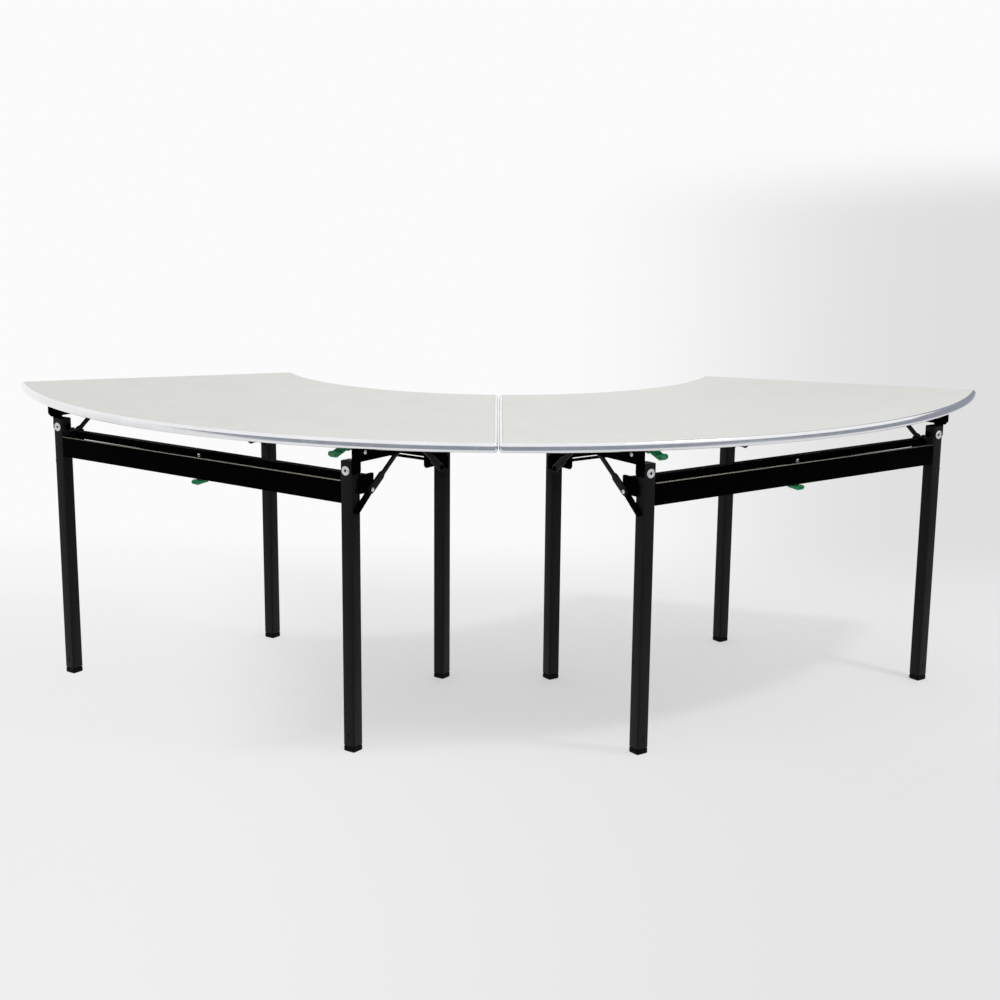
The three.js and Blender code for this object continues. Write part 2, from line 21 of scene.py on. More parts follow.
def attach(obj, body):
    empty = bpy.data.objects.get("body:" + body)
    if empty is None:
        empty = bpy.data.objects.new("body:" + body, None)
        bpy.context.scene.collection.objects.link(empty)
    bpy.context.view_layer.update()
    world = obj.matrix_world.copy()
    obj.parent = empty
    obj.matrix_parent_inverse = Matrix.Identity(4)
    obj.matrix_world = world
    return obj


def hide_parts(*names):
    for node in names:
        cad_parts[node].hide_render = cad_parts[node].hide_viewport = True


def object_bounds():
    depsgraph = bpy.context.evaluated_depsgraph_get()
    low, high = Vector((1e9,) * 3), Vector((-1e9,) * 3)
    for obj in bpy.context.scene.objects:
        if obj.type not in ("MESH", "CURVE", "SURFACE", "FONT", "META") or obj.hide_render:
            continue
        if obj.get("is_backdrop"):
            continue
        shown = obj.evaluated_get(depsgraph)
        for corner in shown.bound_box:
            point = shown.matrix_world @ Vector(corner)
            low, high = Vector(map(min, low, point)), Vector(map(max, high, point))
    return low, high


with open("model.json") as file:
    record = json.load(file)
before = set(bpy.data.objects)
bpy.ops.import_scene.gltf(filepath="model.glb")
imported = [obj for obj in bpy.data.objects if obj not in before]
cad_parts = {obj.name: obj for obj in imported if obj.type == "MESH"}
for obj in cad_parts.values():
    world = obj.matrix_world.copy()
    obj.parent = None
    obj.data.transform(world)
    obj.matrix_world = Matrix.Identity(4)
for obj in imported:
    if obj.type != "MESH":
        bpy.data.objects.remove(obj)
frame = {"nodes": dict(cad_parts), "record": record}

Array = np.ndarray
Tree = bpy.types.NodeTree
Socket = bpy.types.NodeSocket
Pair = tuple[float, float]
Triple = tuple[float, float, float]
Value = Socket | float | tuple
LOG = logging.getLogger("curved_tables")
RING_CENTRE_Y = 0.800317
MERGE_GAP = 2e-6
IMAGE_WIDTH = 1000
SENSOR_WIDTH = 36.0
HANDS = (-1, 1)


class Side(Enum):
    """A table of the pair. The value is the direction of the seam along that table's chord."""

    LEFT = 1
    RIGHT = -1


class Rim(Enum):
    """A leg frame of a table. The value is the direction of its chord and setback in the table's frame."""

    OUTER = 1
    INNER = -1


# Surfaces


@dataclass(frozen=True)
class Grid:
    """A surface as a grid of points, rows by columns by 3, whose last row or column may join the first."""

    points: Array
    loop_rows: bool = False
    loop_columns: bool = False

    def faces(self) -> Array:
        """Corner numbers of the grid's quads, four to a row.

        Returns:
            Faces by 4.
        """
        rows, columns = self.points.shape[:2]
        row = np.arange(rows if self.loop_rows else rows - 1)
        column = np.arange(columns if self.loop_columns else columns - 1)
        low, left = np.meshgrid(row, column, indexing="ij")
        high, right = (low + 1) % rows, (left + 1) % columns
        corners = [(low, left), (low, right), (high, right), (high, left)]
        return np.stack([level * columns + place for level, place in corners], axis=-1).reshape(-1, 4)


def make_piece(
    name: str, grids: Sequence[Grid], crease: float = 40.0, run: Array | None = None,
) -> bpy.types.Object:
    """Makes one object from grids: doubles are merged, so that collapsed rows close, and faces turn outwards.

    Args:
        name: the object's name.
        grids: the surfaces of the piece.
        crease: angle in degrees past which an edge stays sharp.
        run: for each point, its way along and around a swept surface, kept as the attribute "run".

    Returns:
        The object, at the origin, with its place in its mesh.
    """
    starts = np.cumsum([0] + [grid.points.size // 3 for grid in grids])
    points = np.concatenate([grid.points.reshape(-1, 3) for grid in grids])
    faces = np.concatenate([grid.faces() + start for grid, start in zip(grids, starts)])
    mesh = bpy.data.meshes.new(name)
    mesh.from_pydata(points.tolist(), [], faces.tolist())
    if run is not None:
        layer = mesh.attributes.new("run", "FLOAT_VECTOR", "POINT")
        layer.data.foreach_set("vector", run.astype(np.float32).ravel())
    shell = bmesh.new()
    shell.from_mesh(mesh)
    bmesh.ops.remove_doubles(shell, verts=shell.verts, dist=MERGE_GAP)
    bmesh.ops.recalc_face_normals(shell, faces=shell.faces)
    shell.to_mesh(mesh)
    shell.free()
    mesh.polygons.foreach_set("use_smooth", np.ones(len(mesh.polygons), dtype=bool))
    mesh.set_sharp_from_angle(angle=radians(crease))
    piece = bpy.data.objects.new(name, mesh)
    bpy.context.scene.collection.objects.link(piece)
    return piece


def rounded_box(width: float, depth: float, corner: float, steps: int = 6) -> Array:
    """Outline of a rectangle with round corners: four quarter circles joined by straight sides.

    Args:
        width: size along the first axis.
        depth: size along the second axis.
        corner: radius of the corners.
        steps: spans in each corner.

    Returns:
        Points by 2, anticlockwise about the middle.
    """
    turn = np.linspace(0, pi / 2, steps + 1)
    quarter = np.stack([np.cos(turn), np.sin(turn)], axis=-1) * corner
    reach = np.array([width / 2 - corner, depth / 2 - corner])
    parts = []
    for step, sign in enumerate(((1, 1), (-1, 1), (-1, -1), (1, -1))):
        across, up = cos(step * pi / 2), sin(step * pi / 2)
        parts.append(quarter @ np.array([[across, up], [-up, across]]) + reach * sign)
    return np.concatenate(parts)


def stacked(outline: Array, levels: Sequence[float], insets: Sequence[float | None]) -> Array:
    """Rings of an outline, each at its level and scaled so that its reach is less by its inset.

    Args:
        outline: points by 2 about the middle line.
        levels: where each ring is along the middle line.
        insets: how far each ring is drawn in, or None to draw it to a point.

    Returns:
        Rings by points by 3, as (level, first axis, second axis).
    """
    reach = np.abs(outline).max(axis=0)
    rings = [outline * 0 if inset is None else outline * (reach - inset) / reach for inset in insets]
    along = np.repeat(np.array(levels)[:, None], len(outline), axis=1)
    return np.concatenate([along[..., None], np.stack(rings)], axis=-1)


def bar(outline: Array, start: float, stop: float, edge: float) -> Array:
    """A straight bar: the outline carried from start to stop, drawn in at both ends and closed to a point.

    Args:
        outline: points by 2 about the bar's middle line.
        start: where the bar begins along its length.
        stop: where it ends, past its start.
        edge: how much its end edges are broken.

    Returns:
        Rows by columns by 3, as (length, first axis, second axis).
    """
    bend = 0.3 * edge
    places = [start, start, start + bend, start + edge, stop - edge, stop - bend, stop, stop]
    return stacked(outline, places, [None, edge, bend, 0.0, 0.0, bend, edge, None])


def turned(profile: Sequence[Pair], steps: int = 28) -> Array:
    """A turned form: a profile of (radius, offset) spun about the offset axis.

    Args:
        profile: radius and offset of each ring, from one end to the other.
        steps: spans round the axis.

    Returns:
        Rings by steps by 3, as (offset, first axis, second axis).
    """
    radius, offset = np.array(profile).T
    turn = np.linspace(0, 2 * pi, steps, endpoint=False)
    flat = radius[:, None, None] * np.stack([np.cos(turn), np.sin(turn)], axis=-1)
    along = np.repeat(offset[:, None], steps, axis=1)
    return np.concatenate([along[..., None], flat], axis=-1)


def rod(radius: float, reach: float, chamfer: Pair, steps: int) -> Array:
    """A turned rod from -reach to reach, whose ends are chamfered.

    Args:
        radius: radius of the rod.
        reach: half its length.
        chamfer: how much an end is drawn in, and over what length.
        steps: spans round the axis.

    Returns:
        Rings by steps by 3, as (offset, first axis, second axis).
    """
    inset, edge = chamfer
    half = [(radius, reach - edge), (radius - inset, reach), (0, reach)]
    return turned([*((ring, -offset) for ring, offset in half[::-1]), *half], steps)


def smoothed(path: Array, rounds: int) -> Array:
    """Cuts the corners of an open path, which keeps its ends: each gives way to points at 1/4 and 3/4.

    Args:
        path: points by 2.
        rounds: how often its corners are cut.

    Returns:
        The smoother path.
    """
    for _ in range(rounds):
        cut = np.stack([0.75 * path[:-1] + 0.25 * path[1:], 0.25 * path[:-1] + 0.75 * path[1:]], axis=1)
        path = np.concatenate([path[:1], cut.reshape(-1, path.shape[1]), path[-1:]])
    return path


def way_along(path: Array) -> Array:
    """For each point of a path, the length of the path up to it."""
    return np.concatenate([[0], np.cumsum(np.linalg.norm(np.diff(path, axis=0), axis=-1))])


def soft_step(share: Array) -> Array:
    """A step from 0 to 1 that starts and stops softly: 3 times the share squared less twice its cube."""
    return share * share * (3 - 2 * share)


# Finishes


class Nodes:
    """A node tree, with short ways to place and join nodes in it."""

    def __init__(self, tree: Tree) -> None:
        """Takes the tree."""
        self.tree = tree

    def add(self, kind: str, inputs: dict[str | int, Value], **options: object) -> bpy.types.Node:
        """Adds a shader node.

        Args:
            kind: the node's type, without the prefix that all types share.
            inputs: for each input, its value or the socket that it is joined to.
            **options: the node's settings.

        Returns:
            The node.
        """
        node = self.tree.nodes.new(f"ShaderNode{kind}")
        for option, choice in options.items():
            setattr(node, option, choice)
        for label, value in inputs.items():
            if isinstance(value, Socket):
                self.tree.links.new(value, node.inputs[label])
            else:
                node.inputs[label].default_value = value
        return node

    def maths(self, kind: str, *values: Value) -> Socket:
        """Joins values in a row by an operation.

        Args:
            kind: the operation.
            *values: what is joined, first a socket and then sockets or numbers.

        Returns:
            The result.
        """
        result = values[0]
        for value in values[1:]:
            result = self.add("Math", {0: result, 1: value}, operation=kind).outputs[0]
        return result

    def times(self, *values: Value) -> Socket:
        """The product of values."""
        return self.maths("MULTIPLY", *values)

    def most(self, *values: Value) -> Socket:
        """The greatest of values."""
        return self.maths("MAXIMUM", *values)

    def ramp(self, value: Socket, span: Pair, ends: Pair = (0.0, 1.0)) -> Socket:
        """A soft step.

        Args:
            value: what is measured.
            span: where the step starts and stops.
            ends: the values before and after the step.

        Returns:
            The stepped value.
        """
        labels = ("From Min", "From Max", "To Min", "To Max")
        inputs = {"Value": value, **dict(zip(labels, (*span, *ends)))}
        return self.add("MapRange", inputs, interpolation_type="SMOOTHSTEP").outputs["Result"]

    def seen(self, *kinds: str) -> Socket:
        """A mask of the rays of some kinds."""
        path = self.add("LightPath", {})
        return self.most(*(path.outputs[f"Is {kind} Ray"] for kind in kinds))

    def mixed(self, factor: Socket, first: Socket, second: Socket) -> Socket:
        """A shader that passes from the first to the second with a factor."""
        return self.add("MixShader", {0: factor, 1: first, 2: second}).outputs["Shader"]

    def show(self, surface: Socket, output: str) -> None:
        """Joins a shader to the tree's output node."""
        self.tree.links.new(surface, self.tree.nodes[output].inputs["Surface"])


class Effects:
    """Shader node groups that several finishes share."""

    def __init__(self) -> None:
        """Builds the groups once."""
        self.mottle = self._make_mottle()
        self.grain = self._make_grain()
        self.streaks = self._make_streaks()

    @staticmethod
    def _start(name: str, **values: float) -> tuple[Nodes, bpy.types.bpy_prop_collection]:
        """Starts a group with a Vector input, one input for each value, and one value that it puts out.

        Args:
            name: the group's name.
            **values: its inputs and their values.

        Returns:
            The group's nodes and the sockets that give its inputs.
        """
        tree = bpy.data.node_groups.new(name, "ShaderNodeTree")
        tree.interface.new_socket("Vector", in_out="INPUT", socket_type="NodeSocketVector")
        for label, value in values.items():
            socket = tree.interface.new_socket(label, in_out="INPUT", socket_type="NodeSocketFloat")
            socket.default_value = value
        tree.interface.new_socket("Value", in_out="OUTPUT", socket_type="NodeSocketFloat")
        return Nodes(tree), tree.nodes.new("NodeGroupInput").outputs

    @staticmethod
    def _end(tree: Tree, result: Socket) -> Tree:
        """Joins a result to the value that a group puts out."""
        tree.links.new(result, tree.nodes.new("NodeGroupOutput").inputs[0])
        return tree

    def _make_mottle(self) -> Tree:
        """Slow unevenness of a surface: broad noise with finer noise on it, spread from low to high.

        Returns:
            The group.
        """
        nodes, source = self._start("mottle", Scale=6, Low=0, High=1)
        place = {"Vector": source["Vector"], "Scale": source["Scale"]}
        noise = nodes.add("TexNoise", {**place, "Detail": 5, "Roughness": 0.6})
        ends = {"From Min": 0.3, "From Max": 0.7, "To Min": source["Low"], "To Max": source["High"]}
        spread = nodes.add("MapRange", {"Value": noise.outputs["Fac"], **ends})
        return self._end(nodes.tree, spread.outputs["Result"])

    def _make_grain(self) -> Tree:
        """Fine relief of a moulded or powder-coated skin: small cells softened by noise.

        Returns:
            The group.
        """
        nodes, source = self._start("grain", Scale=900)
        place = {"Vector": source["Vector"], "Scale": source["Scale"]}
        cells = nodes.add("TexVoronoi", place, feature="SMOOTH_F1").outputs["Distance"]
        noise = nodes.add("TexNoise", {**place, "Detail": 2}).outputs["Fac"]
        return self._end(nodes.tree, nodes.times(cells, noise))

    def _make_streaks(self) -> Tree:
        """Drawn lines of a rolled or extruded metal: noise stretched along the run of the piece.

        Returns:
            The group.
        """
        nodes, source = self._start("streaks", Along=6, Across=2500)
        across = source["Across"]
        stretch = nodes.add("CombineXYZ", {"X": source["Along"], "Y": across, "Z": across})
        ways = {0: source["Vector"], 1: stretch.outputs["Vector"]}
        drawn = nodes.add("VectorMath", ways, operation="MULTIPLY").outputs["Vector"]
        noise = nodes.add("TexNoise", {"Vector": drawn, "Scale": 1, "Detail": 3})
        return self._end(nodes.tree, noise.outputs["Fac"])


class Sheet(Nodes):
    """The node tree of one material, with its Principled shader."""

    def __init__(self, name: str) -> None:
        """Makes the material with its shader and Object coordinates.

        Args:
            name: the material's name.
        """
        self.material = bpy.data.materials.new(name)
        self.material.use_nodes = True
        super().__init__(self.material.node_tree)
        self.shader = self.tree.nodes["Principled BSDF"]
        self.place = self.add("TexCoord", {}).outputs["Object"]

    def set(self, **values: float | tuple) -> None:
        """Sets shader sockets that are the same all over the surface; _ in a name stands for a space."""
        for label, value in values.items():
            self.shader.inputs[label.replace("_", " ")].default_value = value

    def join(self, value: Socket, label: str) -> None:
        """Joins a value to a shader socket."""
        self.tree.links.new(value, self.shader.inputs[label])

    def effect(self, group: Tree, vector: Socket, **values: float) -> Socket:
        """Places a shared effect at some coordinates, with its inputs by name, and gives its output."""
        return self.add("Group", {"Vector": vector, **values}, node_tree=group).outputs[0]

    def relief(self, height: Socket, strength: float, distance: float) -> None:
        """Feeds a height to the shader's normal through a bump."""
        bump = self.add("Bump", {"Height": height, "Strength": strength, "Distance": distance})
        self.join(bump.outputs["Normal"], "Normal")


@dataclass(frozen=True)
class Finish:
    """What every finish has: two linear colours that pass into each other in patches, and uneven gloss."""

    name: str
    tone: Triple
    shade: Triple
    gloss: Pair  # lowest and highest roughness

    def start(self, effects: Effects, patch: float, fine: float) -> Sheet:
        """Starts the material.

        Args:
            effects: the shared node groups.
            patch: scale of the colour's unevenness.
            fine: scale of the gloss's unevenness.

        Returns:
            Its sheet, still without relief.
        """
        sheet = Sheet(self.name)
        low, high = self.gloss
        factor = sheet.effect(effects.mottle, sheet.place, Scale=patch)
        colours = {0: factor, 6: (*self.tone, 1), 7: (*self.shade, 1)}
        sheet.join(sheet.add("Mix", colours, data_type="RGBA").outputs[2], "Base Color")
        sheet.join(sheet.effect(effects.mottle, sheet.place, Scale=fine, Low=low, High=high), "Roughness")
        return sheet


@dataclass(frozen=True)
class Skin(Finish):
    """A painted, moulded or laminated skin with a fine grain."""

    patch: float  # scale of the colour's unevenness
    grain: float  # scale of the relief
    depth: float
    shine: float = 0.5  # how much of the light it mirrors, 0.5 for a common plastic
    coat: float = 0.0  # weight of a clear coat
    coat_roughness: float = 0.2
    finer: float = 4.0  # how much finer the gloss's unevenness is than the colour's
    strength: float = 0.35

    def material(self, effects: Effects) -> bpy.types.Material:
        """Makes the material from the shared effects.

        Args:
            effects: the shared node groups.

        Returns:
            The material.
        """
        sheet = self.start(effects, self.patch, self.finer * self.patch)
        sheet.set(Coat_Weight=self.coat, Coat_Roughness=self.coat_roughness, Specular_IOR_Level=self.shine)
        sheet.relief(sheet.effect(effects.grain, sheet.place, Scale=self.grain), self.strength, self.depth)
        return sheet.material


@dataclass(frozen=True)
class Metal(Finish):
    """A bare or plated metal with drawn lines along its run."""

    across: float  # how fine the drawn lines are
    swept: bool = False  # whether they follow the run of a swept piece
    along: float = 5.0  # how short they are
    patch: float = 9.0
    fine: float = 40.0
    strength: float = 0.12
    depth: float = 0.00012

    def material(self, effects: Effects) -> bpy.types.Material:
        """Makes the material from the shared effects.

        Args:
            effects: the shared node groups.

        Returns:
            The material.
        """
        sheet = self.start(effects, self.patch, self.fine)
        run = sheet.place
        if self.swept:
            run = sheet.add("Attribute", {}, attribute_name="run").outputs["Vector"]
        sheet.set(Metallic=1.0)
        lines = sheet.effect(effects.streaks, run, Along=self.along, Across=self.across)
        sheet.relief(lines, self.strength, self.depth)
        return sheet.material


FINISHES = {
    "laminate": Skin(
        name="pale_laminate", tone=(0.715, 0.722, 0.685), shade=(0.69, 0.697, 0.658),
        gloss=(0.4, 0.5), patch=3.0, grain=1400, depth=0.00004, shine=0.4,
    ),
    "aluminium": Metal(
        name="edge_aluminium", tone=(0.88, 0.885, 0.9), shade=(0.82, 0.825, 0.845),
        gloss=(0.1, 0.2), across=1600, swept=True,
    ),
    "black_steel": Skin(
        name="black_enamel", tone=(0.0011, 0.001, 0.001), shade=(0.0018, 0.0016, 0.0016),
        gloss=(0.3, 0.42), patch=9.0, grain=1100, depth=0.00008, shine=0.0015,
    ),
    "leg_steel": Skin(
        name="black_powder_coat", tone=(0.0036, 0.0034, 0.0036), shade=(0.0062, 0.006, 0.006),
        gloss=(0.32, 0.44), patch=9.0, grain=1100, depth=0.00008, shine=0.11,
    ),
    "zinc": Metal(
        name="bright_zinc", tone=(0.74, 0.75, 0.77), shade=(0.6, 0.61, 0.635),
        gloss=(0.2, 0.36), across=900,
    ),
    # Painted highlight: a bright strip that stands for light caught on the black beam's top face
    "edge_steel": Metal(
        name="painted_beam_highlight", tone=(0.42, 0.38, 0.32), shade=(0.34, 0.3, 0.245),
        gloss=(0.2, 0.32), across=900,
    ),
    "black_plastic": Skin(
        name="foot_plastic", tone=(0.0016, 0.0015, 0.0015), shade=(0.0028, 0.0026, 0.0026),
        gloss=(0.5, 0.64), patch=14.0, grain=800, depth=0.00012, shine=0.06,
    ),
    "green_plastic": Skin(
        name="green_plastic", tone=(0.011, 0.29, 0.105), shade=(0.008, 0.22, 0.075),
        gloss=(0.28, 0.4), patch=16.0, grain=900, depth=0.00006, shine=0.35, coat=0.1,
    ),
}


class Wardrobe:
    """Keeps one material for each finish and puts it on nodes and pieces."""

    def __init__(self) -> None:
        """Makes all the materials."""
        effects = Effects()
        self.materials = {slot: finish.material(effects) for slot, finish in FINISHES.items()}

    def dress(
        self, piece: bpy.types.Object, slot: str, body: str, *nodes: str, finish: str | None = None,
    ) -> None:
        """Gives a new piece its finish and its body, and hides the nodes that it stands for.

        Args:
            piece: the new piece.
            slot: its material slot in the record.
            body: the body that it rides on.
            *nodes: the nodes that it replaces.
            finish: its finish, where that isn't the slot's own.
        """
        piece.data.materials.append(self.materials[finish or slot])
        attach(piece, body)
        if nodes:
            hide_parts(*nodes)
        LOG.info("%s rides on %s with %d faces", piece.name, body, len(piece.data.polygons))

    def dress_nodes(self) -> None:
        """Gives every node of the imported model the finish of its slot."""
        for part in frame["record"]["subparts"]:
            node = frame["nodes"][part["node"]]
            if not node.material_slots:
                node.data.materials.append(None)
            for holder in node.material_slots:
                holder.material = self.materials[part["material_slot"]]


# The table top


@dataclass(frozen=True)
class TableTop:
    """The board of one table and the metal edge round it."""

    side: Side
    height: float = 0.740
    thickness: float = 0.022
    outer_radius: float = 1.385
    width: float = 0.752  # from the outer rim to the inner one
    sector: float = radians(70.5)
    seam_gap: float = 0.0022  # between the two tables
    corner: float = 0.010  # radius of the plan's corners
    edge_width: float = 0.008  # how wide the metal edge shows on top
    rounding: float = 0.007  # radius of its upper and lower bends
    fit: float = 0.0003  # gap between board and edge
    board_break: float = 0.0005  # how much the board's edges are broken
    edge_break: float = 0.0004  # how much the metal edge's inner corners are broken
    crease: float = 30.0  # angle in degrees past which an edge stays sharp
    arc_steps: int = 160
    corner_steps: int = 8
    board_steps: int = 12

    @property
    def name(self) -> str:
        """The table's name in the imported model."""
        return self.side.name.lower()

    @property
    def underside(self) -> float:
        """Height of the board's underside."""
        return self.height - self.thickness

    def to_row(self, points: Array) -> Array:
        """Turns points from the table's own frame, with its outer rim to -Y, into the row frame.

        Args:
            points: any array whose last axis is x, y, z.

        Returns:
            An array of the same shape.
        """
        turn = -self.side.value * self.sector / 2
        x, y, z = np.moveaxis(points, -1, 0)
        across, along = x * cos(turn) - y * sin(turn), x * sin(turn) + y * cos(turn)
        return np.stack([across, along + RING_CENTRE_Y, z], axis=-1)

    @staticmethod
    def _ray(heading: Array) -> Array:
        """Unit directions in plan for headings from the table's middle line."""
        return np.stack([np.sin(heading), -np.cos(heading)], axis=-1)

    @staticmethod
    def _lifted(plan: Array, level: float) -> Array:
        """Plan points at a height."""
        return np.concatenate([plan, np.full((*plan.shape[:-1], 1), level)], axis=-1)

    def half_outline(self, inset: float, outer: bool) -> Array:
        """One long side of the plan, drawn in by an inset: a corner, the arc and the other corner.

        Args:
            inset: how far the outline is drawn in.
            outer: whether it is the outer rim's side.

        Returns:
            Points by 2, from the low end of the chord to the high one.
        """
        sign = 1 if outer else -1
        radius = self.outer_radius if outer else self.outer_radius - self.width
        corner_ring = radius - sign * self.corner
        heading = self.sector / 2 - asin((self.seam_gap / 2 + self.corner) / corner_ring)
        rim = self._ray(np.linspace(-heading, heading, self.arc_steps + 1)) * (radius - sign * inset)
        first = heading if outer else heading + pi
        sweep = np.linspace(first, self.sector / 2 + pi / 2, self.corner_steps + 1)[1:]
        right = self._ray(np.array([heading])) * corner_ring + self._ray(sweep) * (self.corner - inset)
        left = right[::-1] * np.array([-1, 1])
        return np.concatenate([left, rim, right])

    def walls(self, section: Sequence[Pair] | Array) -> Array:
        """The plan once round for each (inset, height) of a section.

        Args:
            section: inset and height of each loop.

        Returns:
            Loops by points by 3.
        """
        sides = [(self.half_outline(inset, True), self.half_outline(inset, False)) for inset, _ in section]
        loops = [np.concatenate([outer, inner[::-1]]) for outer, inner in sides]
        return np.stack([self._lifted(loop, level) for loop, (_, level) in zip(loops, section)])

    def build_board(self) -> bpy.types.Object:
        """The board: a grid between its two long sides, above and below, and a wall with broken edges.

        Returns:
            The board.
        """
        wall = self.edge_width + self.fit
        face = wall + self.board_break
        share = np.linspace(0, 1, self.board_steps + 1)[:, None, None]
        plan = self.half_outline(face, True) * (1 - share) + self.half_outline(face, False) * share
        low, high = self.underside, self.height
        section = [(face, high), (wall, high - self.board_break), (wall, low + self.board_break), (face, low)]
        grids = [Grid(self.to_row(self._lifted(plan, level))) for level in (high, low)]
        grids.append(Grid(self.to_row(self.walls(section)), loop_columns=True))
        return make_piece(f"{self.name}_board", grids, self.crease)

    def edge_section(self) -> Array:
        """Section of the metal edge as (inset, height): round below, up the rim, round above, inner face.

        Returns:
            Points by 2, once round the section.
        """
        turn = np.linspace(0, pi / 2, self.corner_steps + 1)
        low, high = self.underside, self.height
        rise, drop = self.rounding * (1 - np.cos(turn)), self.rounding * (1 - np.sin(turn))
        lower, upper = np.stack([drop, low + rise], axis=-1), np.stack([rise, high - drop], axis=-1)
        wall, nick = self.edge_width, self.edge_break
        inner = [[wall - nick, high], [wall, high - nick], [wall, low + nick], [wall - nick, low]]
        return np.concatenate([lower, upper, inner])

    def build_edge(self) -> bpy.types.Object:
        """The metal edge: its section carried once round the plan, with the run kept for the drawn lines.

        Returns:
            The edge.
        """
        section = self.edge_section()
        rings = self.walls(section)
        ways = np.meshgrid(way_along(rings[0]), way_along(section))
        run = np.stack([*ways, np.zeros(rings.shape[:2])], axis=-1)
        grid = Grid(self.to_row(rings), loop_rows=True, loop_columns=True)
        return make_piece(f"{self.name}_edge", [grid], self.crease, run.reshape(-1, 3))

    def build(self, wardrobe: Wardrobe) -> None:
        """Builds and dresses the board and the edge."""
        wardrobe.dress(self.build_board(), "laminate", "table_tops", f"{self.name}_table_top")
        wardrobe.dress(self.build_edge(), "aluminium", "table_tops", f"{self.name}_edge_trim")


# The leg frames


# Turned profiles as (radius, offset)
# The bolt head is in shares of its radius and its height, and the screw in shares of its radius
BOLT_HEAD = ((1, 0), (1, 0.4), (0.85, 0.75), (0.5, 0.95), (0, 1))
SCREW = ((0, 0), (1, 0), (1, 0.22), (0.88, 0.42), (0.6, 0.55), (0.34, 0.58), (0.26, 0.2), (0, 0.15))
RING_BOLT = (
    (0.0112, 0.0), (0.0112, 0.001), (0.0104, 0.002), (0.0085, 0.0028),
    (0.0062, 0.003), (0.0041, 0.0026), (0.0033, 0.0018), (0.0031, 0.0),
)
# Painted shade: a flat dark disc that fills the ring bolt's hole
RING_HOLE_SHADE = ((0.0, 0.0008), (0.0016, 0.0006), (0.0022, 0.001), (0.0032, 0.001), (0.0032, 0.0))
RAIL_PIN = ((0.0, 0.0032), (0.0026, 0.0029), (0.0042, 0.0019), (0.0047, 0.0006), (0.0047, 0.0))
RIVET = ((0, 0), (0.0052, 0), (0.0052, 0.0002), (0.0042, 0.0004), (0.0022, 0.0005), (0, 0.0005))
BRACE_PIN = (
    (0, -0.0085), (0.004, -0.0085), (0.004, 0.0007), (0.007, 0.0007),
    (0.007, 0.0018), (0.0055, 0.0029), (0, 0.0032),
)

# Levels of a foot cap's rings and how far each is drawn in
FOOT_LEVELS = (0, 0, 0.0006, 0.0018, 0.0105, 0.0118, 0.0128, 0.0137, 0.0137)
FOOT_INSETS = (None, 0.0018, 0.0008, 0.0, 0.0, 0.0004, 0.0012, 0.0012, None)


@dataclass(frozen=True)
class FrameSizes:
    """Where a leg frame stands on its table and what differs between the two rims."""

    line: float  # distance of the leg centres from the ring's centre
    spread: float  # distance between the two legs
    stagger: float  # shift along the chord towards the seam
    pivot: float  # height of the hinge line
    beam_drop: float  # how far the beam's lower edge is below the hinge line
    beam_depth: float
    shaft_drop: float  # how far the release shaft is below the hinge line
    lever: tuple[Pair, ...]  # path of the lever's middle as (setback, height)
    lever_width: float
    lever_offset: float  # its way along the chord from the middle to the seam
    knob: float  # thickness of the lever's tip


FRAME_SIZES = {
    Rim.OUTER: FrameSizes(
        line=1.242, spread=0.971, stagger=-0.012, pivot=0.661,
        beam_drop=0.076, beam_depth=0.051, shaft_drop=0.046,
        lever=((0.030, -0.046), (0.030, -0.058), (0.016, -0.0825), (0.003, -0.0835), (-0.021, -0.084)),
        lever_width=0.024, lever_offset=0.013, knob=0.0122,
    ),
    Rim.INNER: FrameSizes(
        line=0.693, spread=0.610, stagger=0.008, pivot=0.622,
        beam_drop=0.034, beam_depth=0.024, shaft_drop=0.034,
        lever=((0.030, -0.034), (0.044, -0.0375), (0.056, -0.043), (0.079, -0.0465)),
        lever_width=0.032, lever_offset=0.0, knob=0.018,
    ),
}


@dataclass(frozen=True)
class Brace:
    """Sizes of a brace: a flat link from a sleeve at its stud to a rod at its pin."""

    stud: Pair = (0.040, -0.048)  # setback and height
    pin_height: float = 0.032
    angle: float = radians(38)
    near: float = 0.025  # inboard face, from the leg's centre
    thickness: float = 0.005
    sleeve: float = 0.010  # half the sleeve's width
    sleeve_length: float = 0.044
    taper: float = 0.011  # length over which the sleeve narrows to the rod
    rod: float = 0.006  # half the rod's width
    corner: float = 0.5  # radius of the section's corners, in shares of its half width
    end_share: float = 0.35  # share of the thickness that is left at the very ends
    thinning: float = 0.004  # half width over which the ends grow thinner

    @property
    def length(self) -> float:
        """Distance from stud to pin."""
        return (self.pin_height - self.stud[1]) / sin(self.angle)

    @property
    def pin(self) -> Pair:
        """Setback and height of the pin."""
        return self.stud[0] + self.length * cos(self.angle), self.pin_height

    def rings(self) -> tuple[Array, Array]:
        """Rings of the link from end to end; both ends are half circles and the taper is a soft step.

        Returns:
            Each ring's way from the stud, and half its width.
        """
        turn = np.linspace(0, pi / 2, 9)
        way = np.concatenate([
            -self.sleeve * np.cos(turn),
            np.linspace(0.4 * self.sleeve, self.sleeve_length, 6),
            self.sleeve_length + self.taper * np.linspace(0.1, 1, 7),
            np.linspace(self.sleeve_length + 0.02, self.length - 0.002, 4),
            self.length + self.rod * np.sin(turn),
        ])
        narrow = soft_step(np.clip((way - self.sleeve_length) / self.taper, 0, 1))
        half = self.sleeve + (self.rod - self.sleeve) * narrow
        for past, radius in ((-way, self.sleeve), (way - self.length, self.rod)):
            half = np.where(past > 0, np.sqrt(np.clip(radius ** 2 - past ** 2, 0, None)), half)
        return way, half


